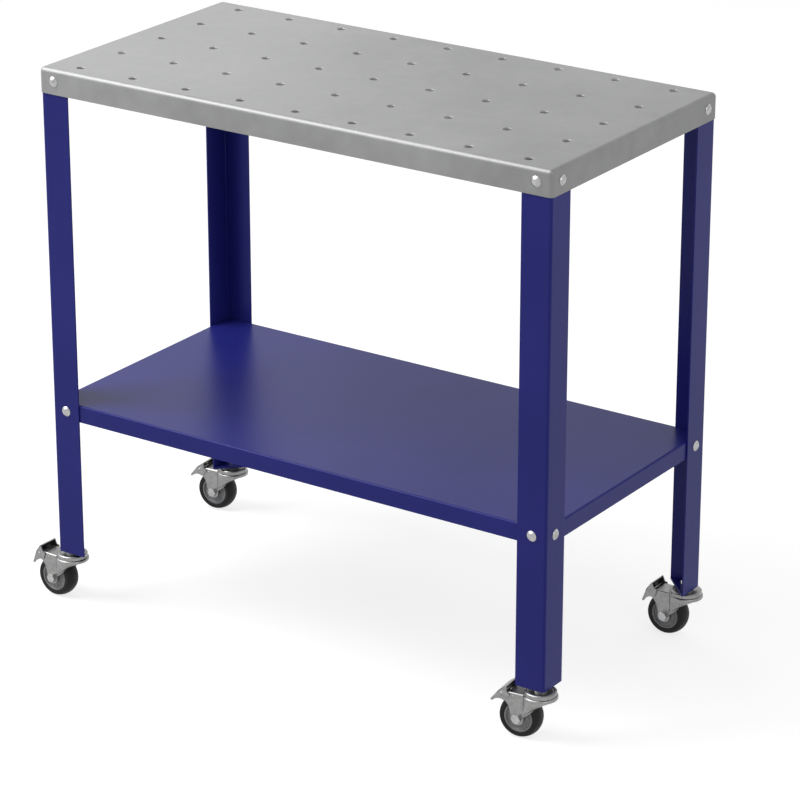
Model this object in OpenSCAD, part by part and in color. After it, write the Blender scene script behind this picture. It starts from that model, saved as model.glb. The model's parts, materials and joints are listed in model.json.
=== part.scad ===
// Assembly table on four swivel castors with foot brakes.
// A folded sheet worktop with a grid of fixing holes stands on four angle legs, which
// also carry a folded shelf. Every joint between them is a domed bolt with a nut.
// The origin is on the floor under the middle of the worktop. +X runs along the table
// to the right, +Y to the back and +Z up.

/* [Table] */
// Length of the worktop over its folded edges
table_l = 915; // [600:5:1400]
// Depth of the worktop over its folded edges
table_w = 460; // [300:5:800]
// Height of the working surface above the floor
table_h = 885; // [650:5:1100]

/* [Worktop] */
// Thickness of the worktop sheet
top_t = 2; // [1.5:0.5:3]
// Depth of the edge that is folded down round the worktop
apron_h = 40; // [30:1:70]
// Outside radius of the worktop's folds and corners
top_bend_r = 5; // [4:0.5:8]
// Diameter of a fixing hole
hole_d = 12; // [6:0.5:20]
// Distance between neighbouring fixing holes
hole_pitch = 100; // [50:5:200]
// Least distance from the middle of a hole to the worktop's edge
hole_margin = 25; // [20:1:60]

/* [Shelf] */
// Height of the underside of the shelf's folded edge above the floor
shelf_z = 315; // [180:5:550]
// Thickness of the shelf sheet
shelf_t = 1.5; // [1:0.5:3]
// Depth of the shelf's folded edge
shelf_edge_h = 28; // [24:1:60]
// Outside radius of the shelf's folds and corners
shelf_bend_r = 3; // [3:0.5:6]

/* [Legs] */
// Width of a leg's flange
leg_w = 50; // [44:1:80]
// Thickness of a leg's sheet
leg_t = 2.5; // [2:0.5:4]
// Outside radius of a leg's bend
leg_bend_r = 4; // [4:0.5:6]
// Thickness of the triangular foot plate
foot_t = 4; // [3:0.5:8]

/* [Bolts] */
// Thread diameter of the domed bolts
bolt_d = 6; // [5:1:8]
// Diameter of a domed head
bolt_head_d = 16.5; // [13:0.5:20]
// Height of a domed head
bolt_head_h = 3.9; // [3:0.1:5]
// Height of a domed head's straight rim
bolt_rim_h = 0.5; // [0.3:0.1:1]
// Width across the flats of the nuts behind them
bolt_nut_w = 10; // [10:0.5:14]
// Thickness of those nuts
bolt_nut_h = 5; // [4:0.5:7]
// Length of thread that stands out of each nut
thread_end = 2; // [1:0.5:5]

/* [Castor wheel] */
// Diameter of the wheel over its tread
wheel_d = 67; // [60:1:76]
// Width of the tyre
tread_w = 26; // [22:1:28]
// Depth of the tyre from its seat on the rim to the tread
tyre_depth = 10.5; // [7:0.1:12]
// Height of the tread's middle above its edges
tyre_crown = 3.5; // [1:0.5:5]
// Width of the rim's raised ring
rim_ring_w = 2.8; // [1.5:0.1:5]
// Depth of the rim's dish below its raised ring
rim_dish = 2.6; // [1:0.1:4]
// Diameter of the axle bolt
axle_d = 8; // [6:1:10]
// Width across the flats of the axle bolt's head and nut
axle_hex_w = 13; // [13:0.5:17]
// Height of the axle bolt's head
axle_head_h = 5.3; // [4:0.1:8]
// Thickness of the axle nut
axle_nut_h = 6.5; // [5:0.5:9]
// Outside diameter of the sleeve that the wheel turns on
sleeve_d = 11; // [11:0.5:14]

/* [Castor fork] */
// Distance of the axle behind the swivel axis
castor_trail = 30; // [28:0.5:33]
// Gap between the top of the tyre and the fork's crown above it
crown_gap = 5; // [5:0.5:10]
// Thickness of the fork's sheet
fork_t = 2; // [1.5:0.5:3]
// Gap on each side between the tyre and the fork's cheek
wheel_gap = 1; // [0.5:0.1:3]
// Diameter of the fork's crown
crown_d = 53; // [51:0.5:60]
// Height of the crown's rim
crown_rim_h = 5; // [4:0.5:8]
// Radius of the crown's rim and of the fork's folds
fork_bend_r = 2.5; // [2:0.5:4]
// Radius of the cheek's end round the axle
cheek_end_r = 10.5; // [9:0.5:13]
// Diameter of the dimple pressed out of each cheek
dimple_d = 5; // [3:0.5:7]
// Height of that dimple
dimple_h = 0.9; // [0.5:0.1:1.5]

/* [Castor head] */
// Distance of the swivel axis inside the two outer faces of its leg
castor_inset = 14.5; // [13.5:0.5:20]
// Height from the crown to the foot plate
head_h = 10.5; // [9:0.5:20]
// Diameter of the race cup
cup_d = 49; // [46:0.5:50]
// Width of the race cup's domed ring
cup_ring_w = 6.8; // [6:0.2:7]
// Height of the race cup's domed ring above the crown
cup_ring_h = 7; // [6.5:0.1:8]
// Height of the race cup's pan above the crown
cup_pan_h = 5.5; // [5.5:0.1:6.2]
// Diameter of the race cup's middle boss
cup_boss_d = 22; // [18:1:26]
// Diameter of a bearing ball
ball_d = 4; // [3:0.5:4.5]
// Diameter of the circle that the balls run on
race_d = 35; // [32:0.5:38]
// Number of bearing balls
ball_n = 16; // [8:1:20]
// Outside diameter of the kingpin
kingpin_d = 16; // [14:0.5:18]
// Diameter of the kingpin's flange
kingpin_flange_d = 22; // [20:0.5:23]
// Thickness of the kingpin's flange
kingpin_flange_h = 2; // [1.5:0.5:2]
// Diameter of the bolt that holds the castor
stem_d = 10; // [8:1:12]
// Width across the flats of that bolt's head and nut
stem_hex_w = 17; // [13:1:18]
// Height of that bolt's head
stem_head_h = 6.4; // [4:0.1:6.4]
// Thickness of its nut
stem_nut_h = 8; // [6:0.5:10]

/* [Brake pedal] */
// Distance of the pedal's hinge behind the swivel axis
hinge_back = 54.5; // [53.5:0.5:60]
// Depth of the pedal's hinge below the crown
hinge_drop = 4.6; // [4.2:0.1:5.2]
// Diameter of the hinge pin
hinge_d = 5; // [3:0.5:5.5]
// Diameter of the hinge pin's riveted heads
hinge_head_d = 6.4; // [6.4:0.2:9]
// Height of those heads
hinge_head_h = 1.2; // [0.8:0.1:2]
// Thickness of the pedal's sheet
pedal_t = 1.6; // [1.2:0.1:2]
// Height of the pedal's lip above the hinge
lip_rise = 15; // [13:0.1:20]
// Depth of the pedal's beak below the hinge
beak_drop = 16.6; // [15:0.1:20]
// Distance of the pedal's web behind the hinge
web_back = 6.6; // [6.4:0.1:8]
// Distance that the pedal's cheeks reach in front of the hinge
pedal_front = 12; // [9:0.5:14]
// Width of the brake tongue
tongue_w = 20; // [12:1:22]
// Angle that the pedal turns from pressed to released
brake_travel = 18; // [10:1:20]

/* [Castors at rest] */
// Swivel angle of the front left castor
front_left_yaw = -2; // [-180:1:180]
// Swivel angle of the front right castor
front_right_yaw = 6; // [-180:1:180]
// Swivel angle of the back left castor
back_left_yaw = 4; // [-180:1:180]
// Swivel angle of the back right castor
back_right_yaw = 0; // [-180:1:180]

/* [Hidden] */
$fn = 96;
// Names of the four corners, in the order of their numbers from 0
CORNERS = ["front_left", "front_right", "back_left", "back_right"];
LEG_PARTS = ["leg", "foot_plate"];
CASTOR_PARTS = ["race_cup", "kingpin", "balls", "fork", "axle_bolt", "axle_nut", "axle_sleeve",
                "wheel_rim", "tyre", "hinge_pin", "brake_pedal"];

// Overrun of every cut past the face that it opens
cut = 1;
// Play between a bolt and the hole that it passes through, on the radius
bolt_play = 0.3;
// Play between a square neck and its square hole, on each side
neck_play = 0.1;
// Running clearance of a turning fit, on the radius
run_play = 0.06;
// Play of a nut or sleeve on its own bolt, on the radius
seat_play = 0.05;
// Gap between faces that move past each other
face_gap = 0.35;
// Gap round a bearing ball
ball_gap = 0.3;
// Gap between the pressed brake tongue and the tread
brake_gap = 0.4;
// Thickness of the hexagon chamfer's straight middle, as a share of the nut
hex_flat_share = 0.7;

// Depth of the point where the flares begin, as a share of the crown's height over the axle
flare_share = 0.85;
// Number of flats round each flare
flare_n = 36;
// Width of the ledge between the crown's rim and each flare that runs down from it
flare_ledge_w = 0.3;

// Which castors have their brake pressed at rest: the front left and the back right
brake_pressed = [true, false, false, true];
castor_yaw = [front_left_yaw, front_right_yaw, back_left_yaw, back_right_yaw];

// Outer faces of the legs, inside the worktop's folded edge
leg_x = table_l / 2 - top_t;
leg_y = table_w / 2 - top_t;
// Faces of the shelf, inside the legs
shelf_l = 2 * (leg_x - leg_t);
shelf_w = 2 * (leg_y - leg_t);
shelf_top_z = shelf_z + shelf_edge_h;
leg_top_z = table_h - top_bend_r;
// Heights of the two rows of domed bolts, and their place on a leg's flange
apron_bolt_z = table_h - apron_h / 2;
shelf_bolt_z = shelf_z + shelf_edge_h / 2;
bolt_x = leg_x - leg_w / 2;
bolt_y = leg_y - leg_w / 2;

// Castor, with its axis at x = 0 and the floor at z = 0; the wheel trails towards -x
swivel_x = leg_x - castor_inset;
swivel_y = leg_y - castor_inset;
wheel_r = wheel_d / 2;
crown_rise = wheel_r + crown_gap + fork_t;
crown_z = wheel_r + crown_rise;
foot_z = crown_z + head_h;
fork_gap = tread_w + 2 * wheel_gap;
fork_w = fork_gap + 2 * fork_t;
crown_r = crown_d / 2;
rim_r = wheel_r - tyre_depth;
hub_r = axle_hex_w / 2 + fork_t;
// Radius of the tread's curve, from its width and its crown
tread_r = (tread_w * tread_w / 4 + tyre_crown * tyre_crown) / (2 * tyre_crown);
ball_z = crown_z + ball_d / 2 - ball_gap;
cup_z = crown_z + face_gap;
web_end_x = -hinge_back + hinge_drop + fork_bend_r * 2;
pedal_w = fork_w + 2 * (face_gap + pedal_t);

// Outline of a fork cheek from the crown's front down to the axle, each point a share of
// the crown's radius forwards and of the crown's rise downwards
cheek_front_shares = [
    [0.8, 0.15], [0.45, 0.25], [0.08, 0.4], [-0.17, 0.57], [-0.36, 0.71], [-0.72, 0.9]
];
// Outline from the axle up to the hinge, each point a share of the way from the axle to
// the hinge backwards and of the crown's rise downwards
cheek_back_shares = [[0.42, 0.9], [0.5, 0.72], [0.57, 0.57], [0.75, 0.42], [0.95, 0.33]];

// Number of holes that fit in a length, and the places of their rows
function hole_count(length) = floor((length - 2 * hole_margin) / hole_pitch) + 1;
function hole_places(length) =
    let (n = hole_count(length)) [for (i = [0 : n - 1]) (i - (n - 1) / 2) * hole_pitch];
function side_x(corner) = corner % 2 == 0 ? -1 : 1;
function side_y(corner) = corner < 2 ? -1 : 1;
// Radius of the sphere whose cap has this height and base radius
function cap_radius(height, base_r) = (height * height + base_r * base_r) / (2 * height);
function corner_name(corner, part) = str(CORNERS[corner], "_", part);
function castor_name(corner, part) = str(CORNERS[corner], "_castor_", part);

// Rectangle about the origin with rounded corners
module round_rectangle(length, width, r) {
    square([length - 2 * r, width], center = true);
    square([length, width - 2 * r], center = true);
    for (x = [-1, 1]) for (y = [-1, 1])
        translate([x * (length / 2 - r), y * (width / 2 - r)]) circle(r);
}

// Upright section from y = 0 to its height, with its two top corners rounded
module arched_section(width, height, r) {
    translate([-width / 2, -cut]) square([width, height - r + cut]);
    translate([-width / 2 + r, -cut]) square([width - 2 * r, height + cut]);
    for (x = [-1, 1]) translate([x * (width / 2 - r), height - r]) circle(r);
}

// Block whose top edges and upright edges are rounded alike
module folded_block(length, width, height, r) {
    intersection() {
        linear_extrude(height + cut) round_rectangle(length, width, r);
        rotate([90, 0, 0])
            linear_extrude(width + 2 * cut, center = true) arched_section(length, height, r);
        rotate([90, 0, 90])
            linear_extrude(length + 2 * cut, center = true) arched_section(width, height, r);
    }
}

// Sheet folded down on all four sides, open below
module folded_tray(length, width, height, r, t) {
    difference() {
        folded_block(length, width, height, r);
        translate([0, 0, -cut])
            folded_block(length - 2 * t, width - 2 * t, height - t + cut, r - t);
    }
}

// Places its child on the outer face of both flanges of all four legs, +Z outwards
module on_flanges(face_x, face_y, z) {
    for (sx = [-1, 1]) for (sy = [-1, 1]) {
        translate([sx * bolt_x, sy * face_y, z]) rotate([-90 * sy, 0, 0]) children();
        translate([sx * face_x, sy * bolt_y, z]) rotate([0, 90 * sx, 0]) children();
    }
}

// Turns its child from the front right corner's leg into the leg of any corner
module at_leg(corner) {
    scale([side_x(corner), side_y(corner), 1]) translate([leg_x, leg_y, 0])
        rotate(180) children();
}

module at_castor(corner) {
    translate([side_x(corner) * swivel_x, side_y(corner) * swivel_y, 0])
        rotate(castor_yaw[corner]) children();
}

// Stands its child, drawn along +Z, along the axle with +Z to the castor's far side
module along_axle() {
    translate([-castor_trail, 0, wheel_r]) rotate([-90, 0, 0]) children();
}

module along_hinge() {
    translate([-hinge_back, 0, crown_z - hinge_drop]) rotate([-90, 0, 0]) children();
}

// Domed cap on z = 0
module dome(d, h) {
    r = cap_radius(h, d / 2);
    intersection() {
        translate([0, 0, h - r]) sphere(r);
        cylinder(h = h, d = d);
    }
}

// Hexagon prism on z = 0 with chamfered corners
module hexagon(across, h) {
    corner_r = across / sqrt(3);
    chamfer = h * (1 - hex_flat_share);
    intersection() {
        cylinder(h = h, r = corner_r, $fn = 6);
        union() {
            cylinder(h = h - chamfer, r = corner_r + cut);
            translate([0, 0, h - chamfer])
                cylinder(h = chamfer, r1 = corner_r + chamfer, r2 = across / 2);
        }
    }
}

module hexagon_nut(across, h, bore) {
    difference() {
        hexagon(across, h);
        translate([0, 0, -cut]) cylinder(h = h + 2 * cut, d = bore);
    }
}

// Domed bolt whose head stands on z = 0, with its square neck and thread below
module domed_bolt(first_t, grip) {
    cylinder(h = bolt_rim_h, d = bolt_head_d);
    translate([0, 0, bolt_rim_h]) dome(bolt_head_d, bolt_head_h - bolt_rim_h);
    translate([0, 0, -first_t / 2]) cube([bolt_d, bolt_d, first_t], center = true);
    length = grip + bolt_nut_h + thread_end;
    translate([0, 0, -length]) cylinder(h = length, d = bolt_d);
}

module domed_bolt_nut(grip) {
    translate([0, 0, -grip - bolt_nut_h])
        hexagon_nut(bolt_nut_w, bolt_nut_h, bolt_d + 2 * seat_play);
}

// Square hole for a domed bolt's neck, through the sheet below z = 0
module neck_hole(t) {
    side = bolt_d + 2 * neck_play;
    translate([0, 0, -t / 2]) cube([side, side, t + 2 * cut], center = true);
}

module thread_hole(depth, t) {
    translate([0, 0, -depth - t - cut]) cylinder(h = t + 2 * cut, r = bolt_d / 2 + bolt_play);
}

module worktop() {
    color("gainsboro") difference() {
        translate([0, 0, table_h - apron_h])
            folded_tray(table_l, table_w, apron_h, top_bend_r, top_t);
        for (x = hole_places(table_l)) for (y = hole_places(table_w))
            translate([x, y, table_h - top_t - cut]) cylinder(h = top_t + 2 * cut, d = hole_d);
        on_flanges(table_l / 2, table_w / 2, apron_bolt_z) neck_hole(top_t);
    }
}

module lower_shelf() {
    color("darkslateblue") difference() {
        translate([0, 0, shelf_z])
            folded_tray(shelf_l, shelf_w, shelf_edge_h, shelf_bend_r, shelf_t);
        on_flanges(leg_x, leg_y, shelf_bolt_z) thread_hole(leg_t, shelf_t);
    }
}

// Quarter of a plate, with its corner at the origin rounded
module corner_square(size, r) {
    translate([r, 0]) square([size - r, size]);
    translate([0, r]) square([size, size - r]);
    translate([r, r]) circle(r);
}

module leg(corner) {
    color("darkslateblue") difference() {
        at_leg(corner) translate([0, 0, foot_z]) linear_extrude(leg_top_z - foot_z)
            difference() {
                corner_square(leg_w, leg_bend_r);
                translate([leg_t, leg_t]) corner_square(leg_w, leg_bend_r - leg_t);
            }
        on_flanges(leg_x, leg_y, apron_bolt_z) thread_hole(0, leg_t);
        on_flanges(leg_x, leg_y, shelf_bolt_z) neck_hole(leg_t);
    }
}

// Triangular plate between the leg's two flanges, with one corner cut for the bend
module foot_plate(corner) {
    bend = leg_bend_r - leg_t;
    color("midnightblue") at_leg(corner) translate([0, 0, foot_z]) difference() {
        linear_extrude(foot_t) polygon([
            [leg_t + bend, leg_t], [leg_w, leg_t], [leg_t, leg_w], [leg_t, leg_t + bend]
        ]);
        translate([castor_inset, castor_inset, -cut])
            cylinder(h = foot_t + 2 * cut, r = stem_d / 2 + bolt_play);
    }
}

module apron_bolts() {
    color("silver") on_flanges(table_l / 2, table_w / 2, apron_bolt_z)
        domed_bolt(top_t, top_t + leg_t);
}

module apron_nuts() {
    color("silver") on_flanges(table_l / 2, table_w / 2, apron_bolt_z)
        domed_bolt_nut(top_t + leg_t);
}

module shelf_bolts() {
    color("silver") on_flanges(leg_x, leg_y, shelf_bolt_z) domed_bolt(leg_t, leg_t + shelf_t);
}

module shelf_nuts() {
    color("silver") on_flanges(leg_x, leg_y, shelf_bolt_z) domed_bolt_nut(leg_t + shelf_t);
}

// Underside of the kingpin's flange, where the castor bolt's head bears
flange_z = crown_z - fork_t - face_gap - kingpin_flange_h;

module castor_bolts() {
    length = foot_z + foot_t + stem_nut_h + thread_end - flange_z;
    color("silver") for (corner = [0 : 3]) at_castor(corner) translate([0, 0, flange_z]) {
        mirror([0, 0, 1]) hexagon(stem_hex_w, stem_head_h);
        cylinder(h = length, d = stem_d);
    }
}

module castor_nuts() {
    color("silver") for (corner = [0 : 3]) at_castor(corner)
        translate([0, 0, foot_z + foot_t])
            hexagon_nut(stem_hex_w, stem_nut_h, stem_d + 2 * seat_play);
}

// Ring-shaped room for the balls
module ball_race() {
    translate([0, 0, ball_z]) rotate_extrude()
        translate([race_d / 2, 0]) circle(ball_d / 2 + ball_gap);
}

// Domed ring round a flat pan, with a boss in the middle that the leg stands on
module castor_race_cup() {
    ring_r = cup_ring_w / 2;
    color("gainsboro") difference() {
        translate([0, 0, cup_z]) rotate_extrude() {
            square([cup_d / 2, cup_pan_h - face_gap]);
            translate([cup_d / 2 - cup_ring_w, 0])
                square([cup_ring_w, cup_ring_h - face_gap - ring_r]);
            translate([cup_d / 2 - ring_r, cup_ring_h - face_gap - ring_r]) circle(ring_r);
            square([cup_boss_d / 2, head_h - face_gap]);
        }
        ball_race();
        translate([0, 0, cup_z - cut])
            cylinder(h = cup_pan_h - face_gap + cut, d = kingpin_d);
        translate([0, 0, cup_z]) cylinder(h = head_h + cut, r = stem_d / 2 + bolt_play);
    }
}

// Hollow rivet from the race cup down through the fork's crown, with a flange below it
module castor_kingpin() {
    color("silver") translate([0, 0, flange_z]) difference() {
        union() {
            cylinder(h = kingpin_flange_h, d = kingpin_flange_d);
            cylinder(h = crown_z + cup_pan_h - flange_z, d = kingpin_d);
        }
        translate([0, 0, -cut]) cylinder(
            h = crown_z + cup_pan_h - flange_z + 2 * cut, r = stem_d / 2 + bolt_play
        );
    }
}

module castor_balls() {
    color("lightgray") for (i = [0 : ball_n - 1])
        rotate(i * 360 / ball_n) translate([race_d / 2, 0, ball_z]) sphere(d = ball_d);
}

// Outline of the fork from the side: the crown's rim, a cheek down to the axle, and an ear
// out to the hinge
module fork_outline() {
    front = [for (p = cheek_front_shares) [p[0] * crown_r, -p[1] * crown_rise]];
    back = [for (p = cheek_back_shares)
        [-castor_trail - p[0] * (hinge_back - castor_trail), -p[1] * crown_rise]];
    polygon(concat(
        [[crown_r + cut, cut], [crown_r + cut, -crown_rim_h]],
        front,
        [[-castor_trail, -crown_rise]],
        back,
        [[-hinge_back, -2 * hinge_drop], [-hinge_back, cut]]
    ));
    translate([-castor_trail, -crown_rise]) circle(cheek_end_r);
    translate([-hinge_back, -hinge_drop]) circle(hinge_drop);
}

// Slanting half cone from a point on one cheek's crease up to half a circle in the crown
module flare_cone(side, top_r, half_w, drop) {
    angles = [for (i = [0 : flare_n]) i * 180 / flare_n];
    ring_z = flare_ledge_w - crown_rim_h;
    ring = [for (a = angles) [top_r * cos(a), side * top_r * sin(a), ring_z]];
    apex = [-sqrt(top_r * top_r - half_w * half_w), side * half_w, -drop];
    order = side > 0 ? [for (i = [0 : flare_n]) i] : [for (i = [flare_n : -1 : 0]) i];
    polyhedron(
        points = concat(ring, [apex]),
        faces = concat(
            [[for (i = [flare_n : -1 : 0]) order[i]]],
            [for (i = [0 : flare_n])
                [order[i], order[(i + 1) % (flare_n + 1)], flare_n + 1]]
        )
    );
}

// Pressed yoke: a crown disc whose rim flares down into two cheeks, joined by a short web
module castor_fork() {
    reach = hinge_back + hinge_drop + cut;
    color("darkgray") translate([0, 0, crown_z]) difference() {
        union() {
            rotate_extrude() crown_section();
            intersection() {
                union() {
                    rotate([90, 0, 90]) translate([0, -crown_rise - cheek_end_r, -reach])
                        linear_extrude(reach)
                            arched_section(fork_w, crown_rise + cheek_end_r, fork_bend_r);
                    for (s = [-1, 1]) flare_cone(
                        s, crown_r - flare_ledge_w, fork_w / 2 - flare_ledge_w, crown_rise * flare_share
                    );
                }
                rotate([90, 0, 0]) linear_extrude(crown_d + 2 * cut, center = true)
                    fork_outline();
            }
        }
        // Room for the wheel between the cheeks, and in front below the crown's rim
        rotate([90, 0, 90]) translate([0, -crown_rise - cheek_end_r - cut, -reach - cut])
            linear_extrude(reach + cut) arched_section(
                fork_gap, crown_rise + cheek_end_r + cut - fork_t, fork_bend_r - fork_t / 2
            );
        translate([-cut, -fork_gap / 2, -crown_rise - crown_rim_h])
            cube([crown_r + 2 * cut, fork_gap, crown_rise]);
        // Hollow under the crown and inside the two flares
        translate([0, 0, -crown_rim_h - flare_ledge_w])
            cylinder(h = crown_rim_h + flare_ledge_w - fork_t, r = crown_r - fork_t);
        for (s = [-1, 1]) flare_cone(
            s, crown_r - fork_t - flare_ledge_w, fork_gap / 2 - flare_ledge_w,
            crown_rise * flare_share - fork_t
        );
        // Open end behind the web, between the ears
        translate([web_end_x - reach, -fork_gap / 2, -fork_t - cut])
            cube([reach, fork_gap, fork_t + 2 * cut]);
        translate([0, 0, -fork_t - cut])
            cylinder(h = fork_t + 2 * cut, r = kingpin_d / 2 + run_play);
        translate([0, 0, -crown_z]) ball_race();
        translate([0, 0, -crown_z]) along_axle()
            cylinder(h = fork_w + 2 * cut, r = axle_d / 2 + seat_play, center = true);
        translate([0, 0, -crown_z]) along_hinge()
            cylinder(h = fork_w + 2 * cut, r = hinge_d / 2 + seat_play, center = true);
    }
    color("darkgray") castor_dimples();
}

// Half section of the crown: a flat disc with a rounded rim
module crown_section() {
    translate([0, -crown_rim_h]) square([crown_r, crown_rim_h - fork_bend_r]);
    translate([0, -fork_bend_r]) square([crown_r - fork_bend_r, fork_bend_r]);
    translate([crown_r - fork_bend_r, -fork_bend_r]) circle(fork_bend_r);
}

// Shallow dimple pressed out of each cheek, between the web's end and the crown
module castor_dimples() {
    x = web_end_x + 1.5 * dimple_d;
    for (s = [-1, 1]) translate([x, s * fork_w / 2, crown_z - hinge_drop - fork_bend_r])
        rotate([-90 * s, 0, 0]) {
            dome(dimple_d, dimple_h);
            translate([0, 0, -fork_t / 2]) cylinder(h = fork_t / 2, d = dimple_d);
        }
}

module castor_axle_bolt() {
    length = fork_w + axle_nut_h + thread_end;
    color("silver") along_axle() translate([0, 0, -fork_w / 2]) {
        mirror([0, 0, 1]) hexagon(axle_hex_w, axle_head_h);
        cylinder(h = length, d = axle_d);
    }
}

module castor_axle_nut() {
    color("silver") along_axle() translate([0, 0, fork_w / 2])
        hexagon_nut(axle_hex_w, axle_nut_h, axle_d + 2 * seat_play);
}

module castor_axle_sleeve() {
    color("lightgray") along_axle() difference() {
        cylinder(h = fork_gap, d = sleeve_d, center = true);
        cylinder(h = fork_gap + 2 * cut, r = axle_d / 2 + seat_play, center = true);
    }
}

// Moulded rim: a raised outer ring, a dish, a low step and a hub
module castor_wheel_rim() {
    ring_w = tread_w - wheel_gap;
    dish_w = ring_w - 2 * rim_dish;
    step_r = (hub_r + rim_r - rim_ring_w) / 2;
    color("gray") along_axle() difference() {
        union() {
            cylinder(h = dish_w, r = rim_r, center = true);
            cylinder(h = dish_w + rim_dish, r = step_r, center = true);
            cylinder(h = tread_w, r = hub_r, center = true);
            difference() {
                cylinder(h = ring_w, r = rim_r, center = true);
                cylinder(h = ring_w + 2 * cut, r = rim_r - rim_ring_w, center = true);
            }
        }
        cylinder(h = tread_w + 2 * cut, r = sleeve_d / 2 + run_play, center = true);
    }
}

module castor_tyre() {
    color("black") along_axle() rotate_extrude() intersection() {
        translate([rim_r, -tread_w / 2]) square([tyre_depth, tread_w]);
        translate([wheel_r - tread_r, 0]) circle(tread_r);
    }
}

// Riveted pin through the fork's ears and the pedal's cheeks
module castor_hinge_pin() {
    color("silver") along_hinge() {
        cylinder(h = pedal_w, d = hinge_d, center = true);
        for (s = [-1, 1]) scale([1, 1, s]) translate([0, 0, pedal_w / 2])
            dome(hinge_head_d, hinge_head_h);
    }
}

// The pedal's outer line when the brake is pressed: beak, knee beside the hinge, lip
beak = [-web_back - beak_drop * 0.45, -beak_drop];
knee = [-web_back, hinge_drop * 0.65];
lip = [web_back * 0.25, lip_rise];

// Side view of one pedal cheek, with the hinge at the origin
module pedal_cheek_outline() {
    polygon([
        beak, knee, lip, [lip[0] + pedal_t, lip[1] - pedal_t / 2],
        [web_back, hinge_drop * 1.3],
        [pedal_front - pedal_t, hinge_drop * 1.3],
        [pedal_front, hinge_drop * 0.8],
        [pedal_front * 0.66, -beak_drop * 0.52],
        [pedal_front * 0.2, -beak_drop * 0.5],
        [-web_back * 0.4, -beak_drop * 0.56],
        [-web_back, -beak_drop * 0.75],
        [beak[0] + 2 * pedal_t, -beak_drop]
    ]);
    translate([beak[0] + pedal_t, -beak_drop]) circle(pedal_t);
}

// Side view of the web between the cheeks: the same outer line, one sheet thick
module pedal_web_outline() {
    polygon([
        beak, knee, lip, [lip[0] + pedal_t, lip[1] - pedal_t / 2],
        [knee[0] + pedal_t, knee[1] - pedal_t / 2], [beak[0] + 2 * pedal_t, -beak_drop]
    ]);
    translate([beak[0] + pedal_t, -beak_drop]) circle(pedal_t);
}

// Side view of the brake tongue, from the web down to the tread
module tongue_outline() {
    root = (beak + 3 * knee) / 4;
    to_wheel = [hinge_back - castor_trail, hinge_drop - crown_rise];
    tip = to_wheel * (1 - wheel_r * 0.97 / norm(to_wheel));
    difference() {
        polygon([
            root, root + [pedal_t, pedal_t * 2],
            tip + [pedal_t, pedal_t / 2], tip - [pedal_t, pedal_t / 2]
        ]);
        translate(to_wheel) circle(wheel_r + brake_gap);
    }
}

// Stamped pedal: two cheeks outside the fork's ears, a web behind them and a brake tongue
module castor_brake_pedal(pressed) {
    color("darkgray") translate([-hinge_back, 0, crown_z - hinge_drop])
        rotate([90, pressed ? 0 : brake_travel, 0]) difference() {
            union() {
                for (s = [-1, 1]) translate([0, 0, s * (pedal_w - pedal_t) / 2])
                    linear_extrude(pedal_t, center = true) pedal_cheek_outline();
                linear_extrude(pedal_w, center = true) pedal_web_outline();
                linear_extrude(tongue_w, center = true) tongue_outline();
            }
            cylinder(h = pedal_w + 2 * cut, r = hinge_d / 2 + run_play, center = true);
        }
}

worktop();
lower_shelf();
apron_bolts();
apron_nuts();
shelf_bolts();
shelf_nuts();
castor_bolts();
castor_nuts();
for (corner = [0 : 3]) {
    leg(corner);
    foot_plate(corner);
    at_castor(corner) castor_race_cup();
    at_castor(corner) castor_kingpin();
    at_castor(corner) castor_balls();
    at_castor(corner) castor_fork();
    at_castor(corner) castor_axle_bolt();
    at_castor(corner) castor_axle_nut();
    at_castor(corner) castor_axle_sleeve();
    at_castor(corner) castor_wheel_rim();
    at_castor(corner) castor_tyre();
    at_castor(corner) castor_hinge_pin();
    at_castor(corner) castor_brake_pedal(brake_pressed[corner]);
}
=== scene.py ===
# %% [markdown]
# # An assembly table on castors
#
# The table is folded sheet steel: a bare galvanised worktop with rows of fixing holes, four
# powder-coated angle legs, a powder-coated shelf and four castors with foot brakes.
# Its shapes and sizes are fixed already. This notebook loads them and gives each piece the
# finish of the real one. Pieces whose edges show up close are modelled again here.

# %% Load the table
import json
import math

import bmesh
import bpy
from mathutils import Matrix, Quaternion, Vector


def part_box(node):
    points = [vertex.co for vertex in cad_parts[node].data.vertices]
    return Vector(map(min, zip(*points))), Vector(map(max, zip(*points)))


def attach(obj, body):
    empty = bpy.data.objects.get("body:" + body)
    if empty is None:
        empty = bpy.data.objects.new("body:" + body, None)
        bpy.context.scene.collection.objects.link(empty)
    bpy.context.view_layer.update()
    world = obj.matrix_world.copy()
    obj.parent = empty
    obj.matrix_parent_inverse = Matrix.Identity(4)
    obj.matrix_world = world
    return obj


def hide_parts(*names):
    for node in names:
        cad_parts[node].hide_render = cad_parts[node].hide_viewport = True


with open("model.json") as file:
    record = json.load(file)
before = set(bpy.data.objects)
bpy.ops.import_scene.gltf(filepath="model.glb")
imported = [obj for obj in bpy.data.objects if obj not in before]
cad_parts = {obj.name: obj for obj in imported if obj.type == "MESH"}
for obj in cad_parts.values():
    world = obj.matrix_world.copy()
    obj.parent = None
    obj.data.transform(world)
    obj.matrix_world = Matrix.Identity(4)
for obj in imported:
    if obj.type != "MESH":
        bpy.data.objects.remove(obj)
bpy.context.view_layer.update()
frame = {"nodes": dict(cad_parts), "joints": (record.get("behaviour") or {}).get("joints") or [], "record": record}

NODES = frame["nodes"]
MM = 0.001

# %% [markdown]
# ## Helpers for materials
#
# Every finish below is a Principled shader whose colour, roughness and bump come from noise.
# The noise reads Object coordinates, so it sticks to the piece when the piece moves, and its
# scale can be thought of in metres: a scale of 10 gives patches of about 100 mm. Noise stays
# near the middle of its range, so each use stretches that middle out to the range it needs.
# A Mix node holds sockets for every kind of value, and they are told apart by number only.

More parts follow.
